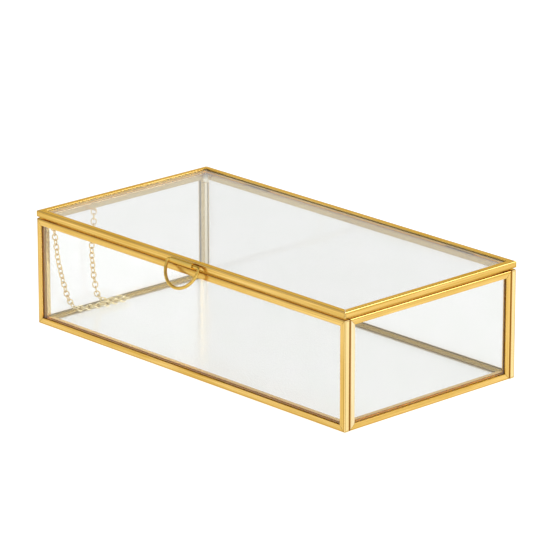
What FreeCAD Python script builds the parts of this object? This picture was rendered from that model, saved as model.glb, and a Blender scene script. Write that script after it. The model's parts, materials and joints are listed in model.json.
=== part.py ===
import FreeCAD, Part
import math
import os

# A hinged display box of clear glass in brass channel frames, with a ring pull and a lid-stay chain.
# Millimetres; X runs along the box, Y from front to back, Z up. The box stands on Z = 0.

# Driving dimensions.
LENGTH = 190.0          # outside, along X
DEPTH = 98.2            # outside, front to back
HEIGHT = 50.8           # closed, from the floor to the top of the lid
PANEL = 2.9             # thickness of every framed pane
SHEET = 0.4             # brass sheet that the channels are folded from
FLANGE = 2.7            # how far a channel's flanges reach over the glass
BEND = 0.5              # outside radius of a channel's two folds
MITRE_GAP = 0.08        # each channel stops this far short of its corner's mitre line
GLASS = 2.0             # thickness of every pane
GLASS_EDGE = 0.3        # gap between a pane's edge and the bottom of its channel
LID_GAP = 0.65          # between the closed lid and the box

# Levels and faces that follow from them.
LID_BOTTOM = HEIGHT - PANEL
BOX_TOP = LID_BOTTOM - LID_GAP
FRONT = -DEPTH / 2
BACK = DEPTH / 2
INNER_X = LENGTH / 2 - PANEL
INNER_Y = DEPTH / 2 - PANEL

# The lid's two hinges, behind the back panel.
HINGE_X = 62.0          # middle of a hinge, either side of the box's middle
KNUCKLE_R = 1.45
PIN_R = 0.6
PIN_CLEARANCE = 0.05
LID_KNUCKLE = 6.0
BOX_KNUCKLE = 5.0
KNUCKLE_GAP = 0.3
LEAF = 0.35             # thickness of a hinge leaf
LEAF_REACH = 1.75       # how far a leaf runs up or down its channel
HINGE_Y = BACK + KNUCKLE_R + 0.3
HINGE_Z = LID_BOTTOM - LID_GAP / 2
HINGE_LENGTH = LID_KNUCKLE + 2 * (KNUCKLE_GAP + BOX_KNUCKLE)

# The ring pull at the middle of the lid's front edge.
PULL_TUBE_R = 1.2
PULL_TUBE_LENGTH = 13.3
PULL_WIRE_R = 0.7
PULL_BORE_R = 0.8
PULL_HALF_WIDTH = 9.65  # of the ring, to the middle of its wire
PULL_CORNER_R = 1.05
PULL_SLIP = 0.75        # how far the ring has slid along its tube
PULL_TILT = 27.0        # degrees that the ring stands out from hanging plumb
PULL_Y = FRONT - PULL_TUBE_R - 0.1
PULL_Z = HEIGHT - 1.2

# Chain links: ovals of round wire. Side links stand in the plane that the chain swings in,
# cross links across it.
WIRE_R = 0.25
LINK_LENGTH = 3.3
LINK_WIDTH = 2.7
LINK_PLAY = 0.09
CROSS_PITCH = LINK_LENGTH - 2 * WIRE_R
SIDE_PITCH = LINK_LENGTH - 6 * WIRE_R - LINK_PLAY

# Where the chain is hooked on: the lower leg of each wire eye.
EYE_X = -90.0
EYE_SPREAD = 1.5        # between an eye's two legs
WALL_EYE_Y, WALL_EYE_Z = -21.2, 44.9
WALL_EYE_LEAN = 68.0    # degrees that the wall's eye leans forward, clear of the links' swing
LID_EYE_Y, LID_EYE_Z = -43.2, 46.1

# The chain as it lies with the lid closed, in runs from each eye down to the floor of the box. Each
# run moves as one, and is one or more straight stretches: (links, angle from +Y towards +Z, sideways
# slope towards +X, twist of its first link, twist of its last), with its angles in degrees.
WALL_RUNS = [
    [(8, -92.3, 1.0, 40, 10)],
    [(4, -87, 2.0, 5, 5)],
    [(4, -81, 2.0, 15, 35)],
    [(1, -69, 2.5, 40, 40)],
    [(1, -46, 3.0, 40, 40)],
    [(1, -32, 3.0, 30, 30)],
    [(1, -13, 2.0, 15, 15)],
    [(4, 0, 0.0, 0, 0)],
]
LID_RUNS = [
    [(8, -83.5, 1.5, -45, -15)],
    [(4, -77, 1.5, -10, -10), (4, -74, 1.5, -20, -35)],
    [(2, -62, 2.5, -40, -40), (1, -48, 4.0, -40, -40)],
    [(1, -27, 6.0, -28, -28), (1, -12, 9.0, -14, -14)],
    [(5, 0, 12.0, 0, 0), (6, 0, 2.0, 0, 0)],
]

# The origin stands on the floor under the middle of the whole outline, pull and hinges included.
PULL_DROP = PULL_HALF_WIDTH + PULL_CORNER_R
PULL_REACH = FRONT - PULL_Y + PULL_DROP * math.sin(math.radians(PULL_TILT)) + PULL_WIRE_R
HINGE_REACH = HINGE_Y + KNUCKLE_R - BACK
ORIGIN_SHIFT = FreeCAD.Vector(0, (PULL_REACH - HINGE_REACH) / 2, 0)

X = FreeCAD.Vector(1, 0, 0)
Y = FreeCAD.Vector(0, 1, 0)
Z = FreeCAD.Vector(0, 0, 1)


def point(x, y, z):
    return FreeCAD.Vector(x, y, z)


def save(name, *solids):
    """Write one node, as one solid or a group of separate ones."""
    shape = solids[0] if len(solids) == 1 else Part.makeCompound(list(solids))
    shape = shape.copy()
    shape.translate(ORIGIN_SHIFT)
    shape.exportStep(f"parts/{name}.step")


def block(x0, x1, y0, y1, z0, z1):
    return Part.makeBox(x1 - x0, y1 - y0, z1 - z0, point(x0, y0, z0))


def rod(radius, length, start, direction=X):
    return Part.makeCylinder(radius, length, start, direction)


def tube(radius, bore, length, start):
    return rod(radius, length, start).cut(rod(bore, length, start))


def frame_axes(along, up):
    """The rotation that takes X to `along` and Y to `up`."""
    return FreeCAD.Rotation(along, up, along.cross(up), "ZXY")


# Framed panes. Each is drawn flat: X along its lower edge, Y up its left edge, and its thickness
# about Z = 0.


def channel(length):
    """A folded channel along X, open towards +Y, its ends mitred for the panel's corners."""
    half = PANEL / 2
    outer = block(0, length, 0, FLANGE, -half, half)
    folds = [
        e for e in outer.Edges
        if abs(e.CenterOfMass.y) < 1e-6 and abs(abs(e.CenterOfMass.z) - half) < 1e-6
    ]
    outer = outer.makeFillet(BEND, folds)
    groove = block(-1, length + 1, SHEET, FLANGE + 1, SHEET - half, half - SHEET)
    outline = [
        point(MITRE_GAP, 0, -half),
        point(length - MITRE_GAP, 0, -half),
        point(length - MITRE_GAP - FLANGE, FLANGE, -half),
        point(MITRE_GAP + FLANGE, FLANGE, -half),
    ]
    mitred = Part.Face(Part.makePolygon(outline + outline[:1])).extrude(point(0, 0, PANEL))
    return outer.cut(groove).common(mitred).Solids[0]


def framed_pane(name, width, height, corner, along, up, sides):
    """Four channels and a pane. `sides` names the channels: bottom, right, top, left, as drawn."""
    where = FreeCAD.Placement(corner, frame_axes(along, up))
    turns = [(0, 0), (width, 0), (width, height), (0, height)]
    for quarter, ((x, y), side) in enumerate(zip(turns, sides)):
        shape = channel(width if quarter % 2 == 0 else height)
        shape.Placement = FreeCAD.Placement(point(x, y, 0), FreeCAD.Rotation(Z, 90 * quarter))
        shape.Placement = where.multiply(shape.Placement)
        save(f"{name}_{side}", shape)
    edge = SHEET + GLASS_EDGE
    pane = block(edge, width - edge, edge, height - edge, -GLASS / 2, GLASS / 2)
    pane.Placement = where
    save(f"{name}_glass", pane)


def panes():
    half_x = LENGTH / 2
    half = PANEL / 2
    wall = ("bottom_rail", "right_stile", "top_rail", "left_stile")
    end = ("bottom_rail", "back_stile", "top_rail", "front_stile")
    flat = ("front_rail", "right_rail", "back_rail", "left_rail")
    end_width = DEPTH - 2 * PANEL
    framed_pane("front", LENGTH, BOX_TOP, point(-half_x, FRONT + half, 0), X, Z, wall)
    framed_pane("back", LENGTH, BOX_TOP, point(-half_x, BACK - half, 0), X, Z, wall)
    framed_pane("left", end_width, BOX_TOP, point(half - half_x, -INNER_Y, 0), Y, Z, end)
    framed_pane("right", end_width, BOX_TOP, point(half_x - half, -INNER_Y, 0), Y, Z, end)
    framed_pane("base", LENGTH - 2 * PANEL, end_width, point(-INNER_X, -INNER_Y, half), X, Y, flat)
    framed_pane("lid", LENGTH, DEPTH, point(-half_x, FRONT, HEIGHT - half), X, Y, flat)


def corner_solder():
    """A bead of solder at the top of each inside corner, running down the seam as a thin fillet."""
    bead_r, seam = 2.3, 0.8
    beads = []
    for sx in (-1, 1):
        for sy in (-1, 1):
            x, y = sx * INNER_X, sy * INNER_Y
            bead = Part.makeSphere(bead_r, point(x, y, BOX_TOP - bead_r - 0.1))
            corners = [point(x, y, 0), point(x - sx * seam, y, 0), point(x, y - sy * seam, 0)]
            fillet = Part.Face(Part.makePolygon(corners + corners[:1]))
            fillet.translate(point(0, 0, PANEL))
            fillet = fillet.extrude(point(0, 0, BOX_TOP - PANEL - bead_r - 0.1))
            inside = block(-INNER_X, INNER_X, -INNER_Y, INNER_Y, PANEL, BOX_TOP)
            beads.append(bead.fuse(fillet).common(inside).Solids[0])
    save("corner_solder", *beads)


# The hinges.


def leaf(side, knuckles, upwards):
    """A leaf flat on the back of its channel, curled round the pin at each of its knuckles."""
    low = HINGE_Z + KNUCKLE_R - LEAF
    parts = [block(-HINGE_LENGTH / 2, HINGE_LENGTH / 2, BACK, BACK + LEAF, low, low + LEAF_REACH)]
    for start, length in knuckles:
        parts.append(block(start, start + length, BACK, HINGE_Y, low, low + LEAF))
        parts.append(rod(KNUCKLE_R, length, point(start, HINGE_Y, HINGE_Z)))
    shape = parts[0].fuse(parts[1:])
    for start, length in knuckles:
        shape = shape.cut(rod(PIN_R + PIN_CLEARANCE, length + 2, point(start - 1, HINGE_Y, HINGE_Z)))
    shape = shape.removeSplitter()
    if not upwards:
        shape = shape.mirror(point(0, 0, HINGE_Z), Z)
    shape.translate(point(side * HINGE_X, 0, 0))
    return shape.Solids[0]


def hinges():
    half = HINGE_LENGTH / 2
    for name, side in (("left", -1), ("right", 1)):
        outer = [(-half, BOX_KNUCKLE), (half - BOX_KNUCKLE, BOX_KNUCKLE)]
        save(f"hinge_{name}_box_leaf", leaf(side, outer, False))
        save(f"hinge_{name}_lid_leaf", leaf(side, [(-LID_KNUCKLE / 2, LID_KNUCKLE)], True))
        start = point(side * HINGE_X - half - 0.3, HINGE_Y, HINGE_Z)
        save(f"hinge_{name}_pin", rod(PIN_R, HINGE_LENGTH + 0.6, start))


# The ring pull.


def bent_wire(radius, bend, centre, normal, start, degrees):
    """An arc of round wire: radius `bend` about `centre`, from `start` by the right-hand rule."""
    section = Part.makeCircle(radius, centre + start * bend, normal.cross(start))
    return Part.Face(Part.Wire(section)).revolve(centre, normal, degrees)


def ring_pull():
    length = PULL_TUBE_LENGTH
    start = point(-length / 2, PULL_Y, PULL_Z)
    save("pull_tube", tube(PULL_TUBE_R, PULL_BORE_R, length, start))
    solder = block(-length / 2 + 0.6, length / 2 - 0.6, PULL_Y, FRONT, PULL_Z - 0.9, PULL_Z + 0.8)
    save("pull_solder", solder.cut(rod(PULL_TUBE_R, length, start)).Solids[0])

    # Drawn hanging in the plane Y = 0 from the tube's axis, then swung out and set in place.
    half = PULL_HALF_WIDTH - PULL_CORNER_R
    drop = -PULL_CORNER_R
    r = PULL_WIRE_R
    pieces = [
        rod(r, 2 * half, point(-half, 0, 0)),
        bent_wire(r, PULL_CORNER_R, point(half, 0, drop), Y, Z, 90),
        bent_wire(r, PULL_HALF_WIDTH, point(0, 0, drop), Y, X, 180),
        bent_wire(r, PULL_CORNER_R, point(-half, 0, drop), Y, -X, 90),
    ]
    ring = pieces[0].fuse(pieces[1:]).removeSplitter()
    ring.rotate(point(0, 0, 0), X, -PULL_TILT)
    ring.translate(point(PULL_SLIP, PULL_Y, PULL_Z))
    save("pull_ring", ring.Solids[0])


# The lid-stay chain.


def link_blank():
    """An oval link about the origin, long along X and wide along Y."""
    bend = LINK_WIDTH / 2 - WIRE_R
    half = (LINK_LENGTH - LINK_WIDTH) / 2
    pieces = [
        bent_wire(WIRE_R, bend, point(half, 0, 0), Z, -Y, 180),
        bent_wire(WIRE_R, bend, point(-half, 0, 0), Z, Y, 180),
        rod(WIRE_R, 2 * half, point(-half, bend, 0)),
        rod(WIRE_R, 2 * half, point(-half, -bend, 0)),
    ]
    return pieces[0].fuse(pieces[1:]).removeSplitter().Solids[0]


def chain(name, start, runs):
    """One node for each run of links from the eye at `start`, side and cross links by turns."""
    blank = link_blank()
    here = start
    side_link = True
    for number, stretches in enumerate(runs, 1):
        links = []
        for count, angle, slope, first, last in stretches:
            a, s = math.radians(angle), math.radians(slope)
            along = point(math.sin(s), math.cos(s) * math.cos(a), math.cos(s) * math.sin(a))
            across = (X - along * along.x).normalize()
            for n in range(count):
                twist = first + (last - first) * n / max(count - 1, 1)
                pitch = SIDE_PITCH if side_link else CROSS_PITCH
                lean = twist + 90 if side_link else twist
                wide = FreeCAD.Rotation(along, lean).multVec(across)
                link = blank.copy()
                link.Placement = FreeCAD.Placement(here + along * (pitch / 2), frame_axes(along, wide))
                links.append(link)
                here = here + along * pitch
                side_link = not side_link
        save(f"{name}_{number}", *links)


def eye(y, z, lean, upper_start, lower_start):
    """A wire eye: two legs along X, each from its own start, and a bend that joins their far ends.

    The links ride on the lower leg, at (y, z). The upper one is up from it, leaning forward.
    """
    bend = EYE_SPREAD / 2
    end = EYE_X + 0.9
    up = FreeCAD.Rotation(X, lean).multVec(Z)
    upper = rod(WIRE_R, end - upper_start, point(upper_start, y, z) + up * EYE_SPREAD)
    lower = rod(WIRE_R, end - lower_start, point(lower_start, y, z))
    loop = bent_wire(WIRE_R, bend, point(end, y, z) + up * bend, X.cross(up) * -1, up, 180)
    return upper.fuse([loop, lower]).removeSplitter().Solids[0]


def main():
    os.makedirs("parts", exist_ok=True)
    panes()
    corner_solder()
    hinges()
    ring_pull()
    # Both legs of the wall's eye meet its rail. The lid's eye hangs from the lid by its upper leg alone.
    save("wall_eye", eye(WALL_EYE_Y, WALL_EYE_Z, WALL_EYE_LEAN, -INNER_X, -INNER_X))
    save("lid_eye", eye(LID_EYE_Y, LID_EYE_Z, 0.0, -INNER_X - 1.6, -INNER_X + 0.2))
    chain("chain_wall_run", point(EYE_X, WALL_EYE_Y, WALL_EYE_Z), WALL_RUNS)
    chain("chain_lid_run", point(EYE_X, LID_EYE_Y, LID_EYE_Z), LID_RUNS)


main()
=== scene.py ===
import json
import math

import bpy
from mathutils import Matrix, Vector


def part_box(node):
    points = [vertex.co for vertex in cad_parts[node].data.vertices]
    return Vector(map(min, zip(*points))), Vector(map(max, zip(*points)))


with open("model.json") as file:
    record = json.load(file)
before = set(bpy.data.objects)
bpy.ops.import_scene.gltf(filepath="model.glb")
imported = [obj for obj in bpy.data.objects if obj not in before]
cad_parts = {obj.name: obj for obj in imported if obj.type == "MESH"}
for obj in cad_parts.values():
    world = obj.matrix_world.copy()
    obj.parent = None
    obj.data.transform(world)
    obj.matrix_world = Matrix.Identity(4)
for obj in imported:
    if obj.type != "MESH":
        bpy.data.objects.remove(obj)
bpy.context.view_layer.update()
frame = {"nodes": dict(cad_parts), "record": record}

# A hinged display box of clear glass in brass channel frames, with a ring pull and a lid-stay chain.
# Metres, in the frame's axes: X along the box, Y from front to back, Z up. The box stands on Z = 0.

MM = 0.001

nodes = frame["nodes"]
scene = bpy.context.scene


# ---------------------------------------------------------------- material helpers


def new_material(name):
    material = bpy.data.materials.new(name)
    material.use_nodes = True
    material.node_tree.nodes.clear()
    return material


def add(material, kind, **values):
    """A new node, with its own properties and its inputs' values set by name."""
    node = material.node_tree.nodes.new(kind)
    for key, value in values.items():
        if hasattr(node, key):
            setattr(node, key, value)
        else:
            node.inputs[key.replace("_", " ")].default_value = value
    return node


def link(material, source, target):
    material.node_tree.links.new(source, target)


def finish(material, shader):
    """Sends a shader to the material's surface."""
    output = add(material, "ShaderNodeOutputMaterial")
    link(material, shader, output.inputs["Surface"])
    return material


def ramp(material, source, stops):
    """A colour ramp on `source`, from a list of (position, colour)."""
    node = add(material, "ShaderNodeValToRGB")
    for element, (position, colour) in zip(node.color_ramp.elements, stops):
        element.position = position
        element.color = (*colour, 1.0)
    link(material, source, node.inputs["Fac"])
    return node.outputs["Color"]


def object_place(material):
    return add(material, "ShaderNodeTexCoord").outputs["Object"]


def noise(material, stretch, scale, detail=3.0, rough=0.5):
    """Noise in object space. A large `stretch` on an axis draws streaks along it."""
    mapping = add(material, "ShaderNodeMapping", Scale=[1.0 / s for s in stretch])
    link(material, object_place(material), mapping.inputs["Vector"])
    node = add(material, "ShaderNodeTexNoise", Scale=scale, Detail=detail, Roughness=rough)
    link(material, mapping.outputs["Vector"], node.inputs["Vector"])
    return node.outputs["Fac"]


def remap(material, source, low, high, start=0.0, end=1.0, smooth=True):
    """`source` taken from start..end to low..high, held at both ends."""
    node = add(material, "ShaderNodeMapRange", From_Min=start, From_Max=end, To_Min=low, To_Max=high)
    if smooth:
        node.interpolation_type = "SMOOTHSTEP"
    link(material, source, node.inputs["Value"])
    return node.outputs["Result"]


def calc(material, operation, *values):
    """A maths node on sockets and plain numbers."""
    node = add(material, "ShaderNodeMath", operation=operation)
    for socket, value in zip(node.inputs, values):
        if isinstance(value, (int, float)):
            socket.default_value = value
        else:
            link(material, value, socket)
    return node.outputs[0]


def calc3(material, operation, values):
    """The same maths node taken over three sockets."""
    first, second, third = values
    return calc(material, operation, first, calc(material, operation, second, third))


def calc_vector(material, operation, *values):
    """A vector maths node on sockets and plain vectors."""
    node = add(material, "ShaderNodeVectorMath", operation=operation)
    for socket, value in zip(node.inputs, values):
        if isinstance(value, Vector):
            socket.default_value = value
        else:
            link(material, value, socket)
    return node.outputs[0]


def split(material, vector):
    node = add(material, "ShaderNodeSeparateXYZ")
    link(material, vector, node.inputs[0])
    return node.outputs[:]


def tint(material, factor, base, colour):
    """`base` turned towards `colour` by `factor`."""
    node = add(material, "ShaderNodeMix", data_type="RGBA")
    link(material, factor, node.inputs["Factor"])
    sockets = {socket.identifier: socket for socket in node.inputs}
    link(material, base, sockets["A_Color"])
    sockets["B_Color"].default_value = (*colour, 1.0)
    return next(socket for socket in node.outputs if socket.identifier == "Result_Color")


def bump(material, source, depth, strength):
    node = add(material, "ShaderNodeBump", Strength=strength, Distance=depth)
    link(material, source, node.inputs["Height"])
    return node.outputs["Normal"]


# ---------------------------------------------------------------- brass

BOX_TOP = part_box("front_top_rail")[1].z
LID_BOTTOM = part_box("lid_front_rail")[0].z
FRONT_LOW, FRONT_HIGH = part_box("front_bottom_rail")
OUTER_X = FRONT_HIGH.x
MIDDLE_Y = (FRONT_LOW.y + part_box("back_bottom_rail")[1].y) / 2
INNER_Y = MIDDLE_Y - FRONT_HIGH.y

GRAIN_DEPTH = 0.0015 * MM         # of the brushing
GLANCING_GOLD = (1.0, 0.72, 0.30, 1.0)
# Painted shade for the gaps and grooves where the panels meet, one colour for each kind of brass.
SEAM_SHADE_BROWN = (0.30, 0.11, 0.008)
SEAM_SHADE_ORANGE = (0.42, 0.14, 0.0)
SEAM_SHADE_OLIVE = (0.33, 0.27, 0.09)
# A painted highlight along the folds and ends, and a line of painted shade beside each fold.
FOLD_SHADE_LINE = (0.46, 0.26, 0.04)
FOLD_HIGHLIGHT = (0.98, 0.82, 0.44)
# Painted shade for the inner faces of the back and left panels.
INNER_FACE_SHADE = (0.58, 0.47, 0.24)
# Painted light on the links lying on the base.
PILE_LIGHT = (1.0, 0.92, 0.62)
INSIDE_PAINTED_LIGHT = {                        # the colour painted down inside each panel's channels for their shade and inter-reflections: orange-brown at the front and right, greyer at the back and in the lid, pale on the left
    "front": (0.70, 0.30, 0.0), "right": (0.70, 0.30, 0.0), "base": (0.80, 0.55, 0.16),
    "back": (0.72, 0.60, 0.36), "left": (0.90, 0.82, 0.62), "lid": (0.60, 0.45, 0.18),
}
FRAME_BRASS = {                   # light tone, dark tone, and the painted shade at the seams
    "plain": ((0.89, 0.62, 0.22), (0.62, 0.37, 0.06), SEAM_SHADE_BROWN),
    "pale": ((0.94, 0.80, 0.50), (0.80, 0.62, 0.32), SEAM_SHADE_BROWN),
    "bright": ((1.0, 0.80, 0.48), (0.90, 0.66, 0.32), SEAM_SHADE_ORANGE),
    "dull": ((0.52, 0.41, 0.19), (0.36, 0.28, 0.11), SEAM_SHADE_OLIVE),
}
# The kinds other than plain are painted light: lit, shaded and paler reflecting copies of the plain
# brass.
KINDS = {                         # every other channel is plain
    "base_front_rail": "bright", "base_right_rail": "bright", "right_front_stile": "pale",
    "base_back_rail": "dull", "base_left_rail": "dull",
}
CHANNEL_ROUGH = 0.17
INSIDE_ROUGH = 0.5


def panel_box(panel):
    """The corners of a whole panel: its four channels together."""
    channels = [n for n in nodes if n.startswith(panel + "_") and n.endswith(("rail", "stile"))]
    boxes = [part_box(node) for node in channels]
    low = Vector([min(box[0][i] for box in boxes) for i in range(3)])
    high = Vector([max(box[1][i] for box in boxes) for i in range(3)])
    return low, high


def brass_tone(material, grain, light, dark):
    """Rolled and brushed sheet: long soft streaks, fine ones between them, and broad clouds."""
    weights = {"streaks": 0.5, "fine": 0.2, "clouds": 0.3}
    kinds = {"streaks": (90.0, 1500.0, 2.0), "fine": (60.0, 6000.0, 3.0), "clouds": (5.0, 150.0, 3.0)}
    made = {}
    for kind, (along, scale, detail) in kinds.items():
        stretch = [along if axis == grain else 1.0 for axis in "XYZ"]
        made[kind] = noise(material, stretch, scale, detail)
    weighted = [calc(material, "MULTIPLY", made[kind], weight) for kind, weight in weights.items()]
    mixed = calc3(material, "ADD", weighted)
    return ramp(material, mixed, [(0.36, dark), (0.64, light)]), mixed, made["fine"]


def polish(material, fine, rough):
    """Roughness about `rough`, from the fine streaks."""
    return remap(material, fine, rough - 0.05, rough + 0.08, smooth=False)


def metal(material, colour, rough, height):
    """The metal itself. Its glancing reflections keep a golden tint."""
    surface = add(material, "ShaderNodeBsdfPrincipled", Metallic=0.88, Specular_Tint=GLANCING_GOLD)
    link(material, colour, surface.inputs["Base Color"])
    link(material, rough, surface.inputs["Roughness"])
    link(material, bump(material, height, GRAIN_DEPTH, 0.5), surface.inputs["Normal"])
    return finish(material, surface.outputs[0])


def brass(name, light, dark, grain, rough):
    material = new_material(name)
    tone, mixed, fine = brass_tone(material, grain, light, dark)
    return metal(material, tone, polish(material, fine, rough), mixed)


def chain_brass(name, light, dark, grain, rough):
    """Plated wire, with painted light on the links that lie on the base: they are painted paler."""
    material = new_material(name)
    tone, mixed, fine = brass_tone(material, grain, light, dark)
    height = split(material, object_place(material))[2]
    # Painted light: the links lying low on the base are painted paler.
    lit_pile = remap(material, height, 0.85, 0.0, 5.0 * MM, 9.0 * MM, smooth=False)
    tone = tint(material, lit_pile, tone, PILE_LIGHT)
    return metal(material, tone, polish(material, fine, rough), mixed)


def paint_inner_shade(material, tone, where, low, high):
    """Paints shade on the faces of one panel that look into the box: a greyer brass standing in for
    the dim reflections they catch.
    """
    thin = min(range(3), key=lambda i: high[i] - low[i])
    if high[thin] < (0.0, MIDDLE_Y)[thin]:
        start, end = high[thin] - 0.45 * MM, high[thin] - 0.35 * MM
    else:
        start, end = low[thin] + 0.45 * MM, low[thin] + 0.35 * MM
    dull = remap(material, where[thin], 0.0, 0.8, start, end, smooth=False)
    return tint(material, dull, tone, INNER_FACE_SHADE)


def folded(material, tone, fold, end=None):
    """Paints a highlight along a fold, and along the panel's ends when `end` is given, and a line of
    painted shade beside the fold. `fold` and `end` are distances.
    """
    highlight = remap(material, fold, 0.55, 0.0, 0.10 * MM, 0.26 * MM)
    tone = tint(material, highlight, tone, FOLD_HIGHLIGHT)
    if end is not None:
        end_highlight = remap(material, end, 0.6, 0.0, 0.05 * MM, 0.2 * MM)
        tone = tint(material, end_highlight, tone, FOLD_HIGHLIGHT)
    start = remap(material, fold, 0.0, 0.7, 0.22 * MM, 0.40 * MM)
    stop = remap(material, fold, 1.0, 0.0, 0.46 * MM, 0.85 * MM)
    return tint(material, calc(material, "MULTIPLY", start, stop), tone, FOLD_SHADE_LINE)


def seam_shade_mask(material, panel, where, depth):
    """Where a panel meets the others, where painted shade goes: 1 on the seam, falling to 0 beside
    it.
    """
    edge = calc(material, "MINIMUM", depth[0], depth[1])
    if panel == "base":
        return remap(material, edge, 1.0, 0.0, 0.6 * MM, 0.9 * MM)
    border = remap(material, edge, 1.0, 0.0, 0.25 * MM, 0.55 * MM)
    if panel == "lid":
        level = remap(material, where[2], 1.0, 0.0, LID_BOTTOM + 0.05 * MM, LID_BOTTOM + 0.15 * MM)
        return calc(material, "MULTIPLY", level, border)
    level = remap(material, where[2], 0.0, 1.0, BOX_TOP - 0.15 * MM, BOX_TOP - 0.05 * MM)
    top = calc(material, "MULTIPLY", level, border)
    across = calc(material, "ABSOLUTE", calc(material, "SUBTRACT", where[1], MIDDLE_Y))
    off = calc(material, "ABSOLUTE", calc(material, "SUBTRACT", across, INNER_Y))
    corner = remap(material, off, 1.0, 0.0, 0.25 * MM, 0.5 * MM)
    along = calc(material, "ABSOLUTE", where[0])
    outer = remap(material, along, 0.0, 1.0, OUTER_X - 0.6 * MM, OUTER_X - 0.5 * MM, smooth=False)
    return calc(material, "MAXIMUM", top, calc(material, "MULTIPLY", corner, outer))


def channel_brass(name, panel, grain, light, dark, seam_shade):
    """Brass for one panel's channels, with painted shade and painted reflections down in its grooves,
    painted highlights and shade lines at its folds, and painted shade along its seams with the
    others.
    """
    low, high = panel_box(panel)
    material = new_material(name)
    tone, mixed, fine = brass_tone(material, grain, light, dark)
    place = object_place(material)
    where = split(material, place)

    # How deep a point lies below the panel's outer faces, on each axis. The channels are folded from
    # 0.4 mm sheet, so a point that is that deep on every axis is inside one.
    centred = calc_vector(material, "SUBTRACT", place, (low + high) / 2)
    spread = calc_vector(material, "ABSOLUTE", centred)
    depth = split(material, calc_vector(material, "SUBTRACT", (high - low) / 2, spread))
    nearest = calc3(material, "MINIMUM", depth)
    inside = remap(material, nearest, 0.0, 1.0, 0.22 * MM, 0.36 * MM)
    # Painted shade and painted reflections down inside the channels.
    tone = tint(material, inside, tone, INSIDE_PAINTED_LIGHT[panel])
    # Painted shade on the inner faces of the back and left panels.
    if panel in ("back", "left"):
        tone = paint_inner_shade(material, tone, where, low, high)

    # On an outer face, the middle one of the three depths is the distance from its nearest fold.
    farthest = calc3(material, "MAXIMUM", depth)
    fold = calc(material, "SUBTRACT", calc3(material, "ADD", depth), nearest)
    fold = calc(material, "SUBTRACT", fold, farthest)
    end = depth[0] if panel in ("front", "back") else None
    # Painted highlights on the folds and painted shade lines beside them.
    tone = folded(material, tone, fold, end)

    # Painted shade along the seams with the other panels.
    tone = tint(material, seam_shade_mask(material, panel, where, depth), tone, seam_shade)
    rough = polish(material, fine, CHANNEL_ROUGH)
    rough = calc(material, "MAXIMUM", rough, calc(material, "MULTIPLY", inside, INSIDE_ROUGH))
    return metal(material, tone, rough, mixed)


# ---------------------------------------------------------------- glass

GLASS_GREEN = (0.985, 0.997, 0.98)
CLEAR = (0.93, 0.93, 0.925, 1.0)


def clear_glass(name, passes, haze=0.0):
    """Float glass, a little green, with faint wipe marks. Light and shadow pass straight through."""
    material = new_material(name)
    marks = noise(material, (1.0, 1.0, 1.0), 45.0, detail=5.0, rough=0.6)
    surface = add(material, "ShaderNodeBsdfPrincipled", IOR=1.5, Transmission_Weight=1.0)
    green = [passes * c for c in GLASS_GREEN]
    white = [min(passes * 1.02, 1.0)] * 3
    link(material, ramp(material, marks, [(0.3, green), (0.75, white)]), surface.inputs["Base Color"])
    rough = remap(material, marks, haze, haze + 0.012, smooth=False)
    link(material, rough, surface.inputs["Roughness"])
    clear = add(material, "ShaderNodeBsdfTransparent", Color=CLEAR)
    path = add(material, "ShaderNodeLightPath")
    joined = surface.outputs[0]
    for ray in ("Is Shadow Ray", "Is Diffuse Ray"):
        mix = add(material, "ShaderNodeMixShader")
        link(material, path.outputs[ray], mix.inputs[0])
        link(material, joined, mix.inputs[1])
        link(material, clear.outputs[0], mix.inputs[2])
        joined = mix.outputs[0]
    return finish(material, joined)


# ---------------------------------------------------------------- what each node wears

SLOT_METAL = {
    "brass_pull": brass("pull_brass", (0.90, 0.63, 0.18), (0.50, 0.30, 0.04), "X", 0.11),
    "brass_hinge": brass("hinge_brass", (0.66, 0.43, 0.12), (0.44, 0.26, 0.05), "X", 0.28),
    "brass_chain": chain_brass("chain_brass", (1.0, 0.86, 0.50), (0.80, 0.56, 0.20), "Z", 0.11),
    "solder": brass("solder", (1.0, 0.96, 0.80), (0.94, 0.84, 0.58), "Z", 0.3),
}
WALL_GLASS = clear_glass("clear_glass", 0.93)
# The panes are all one glass: the back and left ones pass less and the base more, painted shade and
# painted light for how bright each looks.
OTHER_GLASS = {
    "base_glass": clear_glass("base_glass", 1.0, haze=0.13),
    "lid_glass": clear_glass("lid_glass", 0.93),
    "back_glass": clear_glass("back_glass", 0.83),
    "left_glass": clear_glass("left_glass", 0.87),
}
CHANNELS = {}


def long_axis(node):
    low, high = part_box(node)
    size = high - low
    return "XYZ"[max(range(3), key=lambda i: size[i])]


def frame_material(node):
    """One material for each panel, grain and kind of brass, made when it is first asked for."""
    panel, grain, kind = node.split("_")[0], long_axis(node), KINDS.get(node, "plain")
    name = "_".join(("channel_brass", panel, grain.lower(), kind))
    if name not in CHANNELS:
        CHANNELS[name] = channel_brass(name, panel, grain, *FRAME_BRASS[kind])
    return CHANNELS[name]


def dress(node, slot):
    """Gives a CAD node one material in place of what it came with."""
    if slot == "brass_frame":
        material = frame_material(node)
    elif slot == "glass_pane":
        material = OTHER_GLASS.get(node, WALL_GLASS)
    else:
        material = SLOT_METAL[slot]
    slots = nodes[node].data.materials
    slots.clear()
    slots.append(material)


for subpart in frame["record"]["subparts"]:
    dress(subpart["node"], subpart["material_slot"])


# ---------------------------------------------------------------- camera

AZIMUTH = math.radians(46.89)     # of the camera, round from straight in front towards +X
ELEVATION = math.radians(17.91)
DISTANCE = 1.7231                 # from the middle of the box's footprint, along the view
AIM_RIGHT, AIM_UP = 1.35 * MM, 31.57 * MM
LENS = 266.2                      # millimetres on a 36 mm sensor


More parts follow.
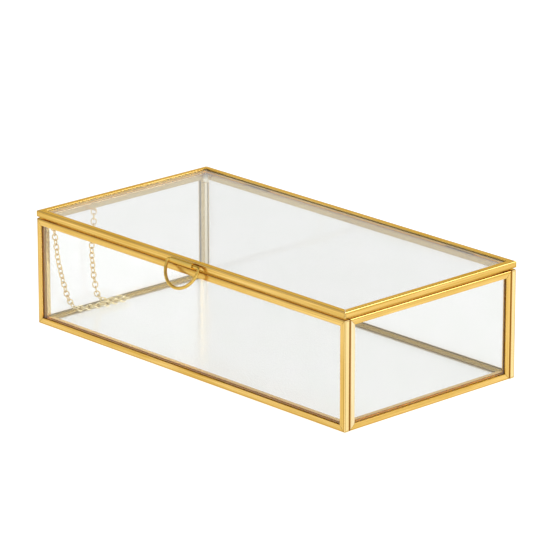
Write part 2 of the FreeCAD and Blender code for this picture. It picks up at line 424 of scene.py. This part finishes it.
def add_camera():
    middle = Vector((0.0, MIDDLE_Y, 0.0))
    towards = Vector((
        math.sin(AZIMUTH) * math.cos(ELEVATION),
        -math.cos(AZIMUTH) * math.cos(ELEVATION),
        math.sin(ELEVATION),
    ))
    right = Vector((math.cos(AZIMUTH), math.sin(AZIMUTH), 0.0))
    up = towards.cross(right)
    camera = bpy.data.objects.new("camera", bpy.data.cameras.new("camera"))
    camera.data.lens = LENS
    camera.data.sensor_width = 36.0
    camera.data.clip_end = 20.0
    place = middle + towards * DISTANCE + right * AIM_RIGHT + up * AIM_UP
    turn = Matrix((right, up, towards)).transposed().to_4x4()
    camera.matrix_world = Matrix.Translation(place) @ turn
    scene.collection.objects.link(camera)
    scene.camera = camera


# ---------------------------------------------------------------- stage and light

FLOOR_HALF = 1.6
FLOOR_LEVEL = -0.02 * MM          # just clear of the box's underside
FLOOR_GREY = (0.32, 0.32, 0.32, 1.0)
FLOOR_GLOW = 0.93
SKY = ((0.0, 0.9), (0.4, 0.8), (1.0, 0.25))     # height and grey, from the horizon to overhead


def add_floor():
    """White paper, lit a little from within, so that it stays white under the box's glass."""
    mesh = bpy.data.meshes.new("floor")
    half = FLOOR_HALF
    around = ((-half, -half), (half, -half), (half, half), (-half, half))
    mesh.from_pydata([(x, y, FLOOR_LEVEL) for x, y in around], [], [(0, 1, 2, 3)])
    floor = bpy.data.objects.new("floor", mesh)
    scene.collection.objects.link(floor)
    material = new_material("floor_white")
    paper = add(material, "ShaderNodeBsdfDiffuse", Color=FLOOR_GREY)
    glow = add(material, "ShaderNodeEmission", Color=(1.0, 1.0, 1.0, 1.0), Strength=FLOOR_GLOW)
    both = add(material, "ShaderNodeAddShader")
    link(material, paper.outputs[0], both.inputs[0])
    link(material, glow.outputs[0], both.inputs[1])
    mesh.materials.append(finish(material, both.outputs[0]))


def add_area_light(name, place, aim, side, power):
    light = bpy.data.lights.new(name, "AREA")
    light.size = side
    light.energy = power
    lamp = bpy.data.objects.new(name, light)
    lamp.location = place
    lamp.rotation_euler = (Vector(aim) - Vector(place)).to_track_quat("-Z", "Y").to_euler()
    scene.collection.objects.link(lamp)


def add_world():
    """A soft white room, brightest round the horizon and dimmer overhead."""
    world = bpy.data.worlds.new("studio")
    world.use_nodes = True
    tree = world.node_tree
    way = tree.nodes.new("ShaderNodeTexCoord")
    axes = tree.nodes.new("ShaderNodeSeparateXYZ")
    fade = tree.nodes.new("ShaderNodeValToRGB")
    tree.links.new(way.outputs["Generated"], axes.inputs[0])
    tree.links.new(axes.outputs["Z"], fade.inputs["Fac"])
    tree.links.new(fade.outputs["Color"], tree.nodes["Background"].inputs["Color"])
    fade.color_ramp.elements.new(0.4)
    for element, (height, grey) in zip(fade.color_ramp.elements, SKY):
        element.position = height
        element.color = (grey, grey, grey, 1.0)
    tree.nodes["Background"].inputs["Strength"].default_value = 1.0
    scene.world = world


add_camera()
add_floor()
add_world()
add_area_light("overhead", (0.0, 0.2, 1.2), (0.0, 0.0, 0.0), 1.0, 0.8)
add_area_light("window", (0.55, 0.5, 0.45), (0.15, 0.1, 0.0), 0.5, 2.8)
scene.view_settings.view_transform = "Standard"
